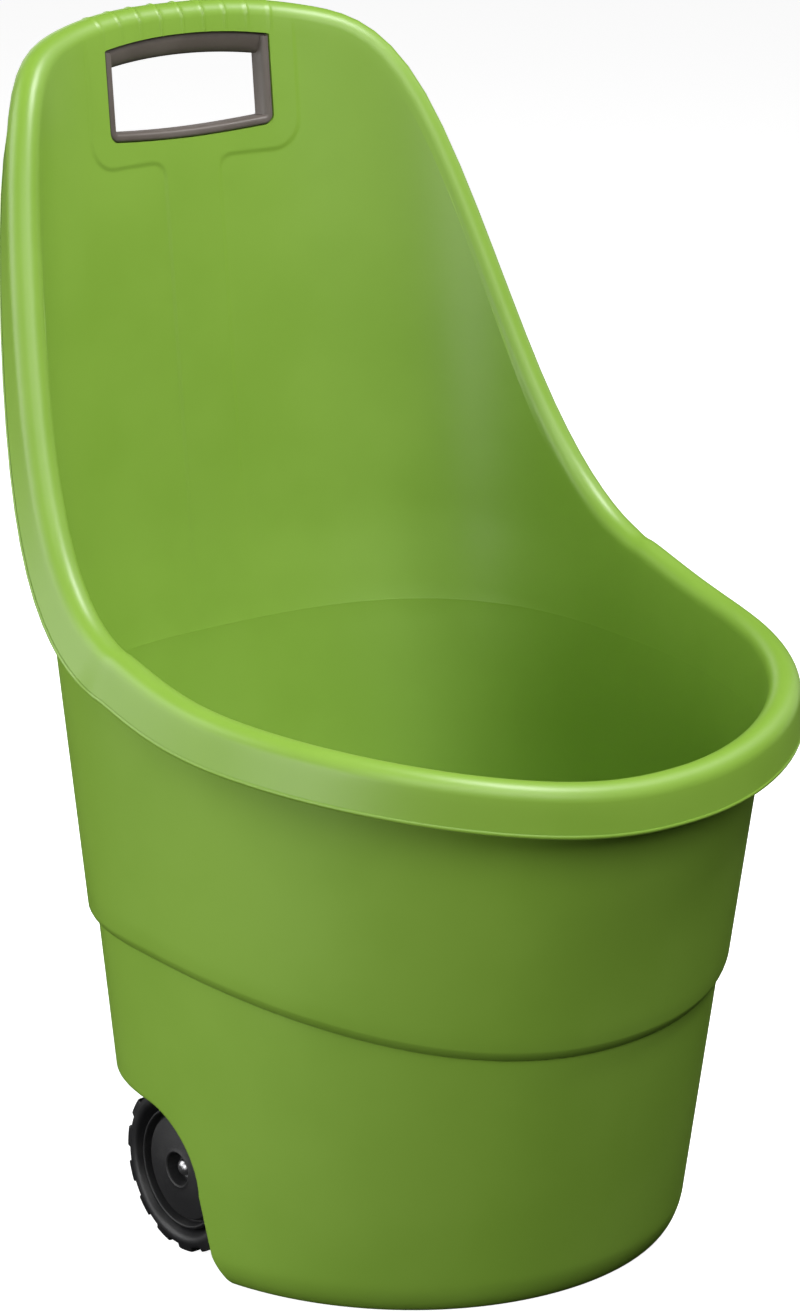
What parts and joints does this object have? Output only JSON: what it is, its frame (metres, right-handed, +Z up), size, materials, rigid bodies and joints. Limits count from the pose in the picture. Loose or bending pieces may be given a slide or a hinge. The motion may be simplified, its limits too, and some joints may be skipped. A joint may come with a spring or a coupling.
{
  "type": "garden cart",
  "caption": "Moulded garden cart: open green tub with a high back, a hand-grip opening near its top, and two small wheels on an axle under the rear.",
  "frame": {"origin": "on the ground, under the middle of the bounding box", "axes": "+Z up, -Y towards the low front lip, +Y towards the high back and hand grip, +X to the side, along the axle"},
  "size_m": [0.5054, 0.5572, 0.8397],
  "materials": {
    "tub_plastic": "satin moulded polypropylene, grass green",
    "grip_plastic": "satin moulded plastic, taupe grey-brown",
    "wheel_plastic": "finely grained black plastic",
    "tyre_plastic": "smooth satin black plastic",
    "axle_steel": "zinc-plated steel",
    "cap_steel": "bright plated steel"
  },
  "bodies": {
    "tub": {"tub": "tub_plastic", "grip_front": "grip_plastic", "grip_rear": "grip_plastic", "axle": "axle_steel", "inner_washer_left": "axle_steel", "inner_washer_right": "axle_steel", "outer_washer_left": "axle_steel", "outer_washer_right": "axle_steel", "axle_cap_left": "cap_steel", "axle_cap_right": "cap_steel"},
    "left_wheel": {"wheel_disc_left": "wheel_plastic", "tyre_left": "tyre_plastic"},
    "right_wheel": {"wheel_disc_right": "wheel_plastic", "tyre_right": "tyre_plastic"}
  },
  "joints": [
    {"name": "left_wheel_spin", "type": "hinge", "parent": "tub", "child": "left_wheel", "pos_m": [-0.1575, 0.0395, 0.0605], "axis": [1, 0, 0], "continuous": true},
    {"name": "right_wheel_spin", "type": "hinge", "parent": "tub", "child": "right_wheel", "pos_m": [0.1575, 0.0395, 0.0605], "axis": [1, 0, 0], "continuous": true}
  ]
}
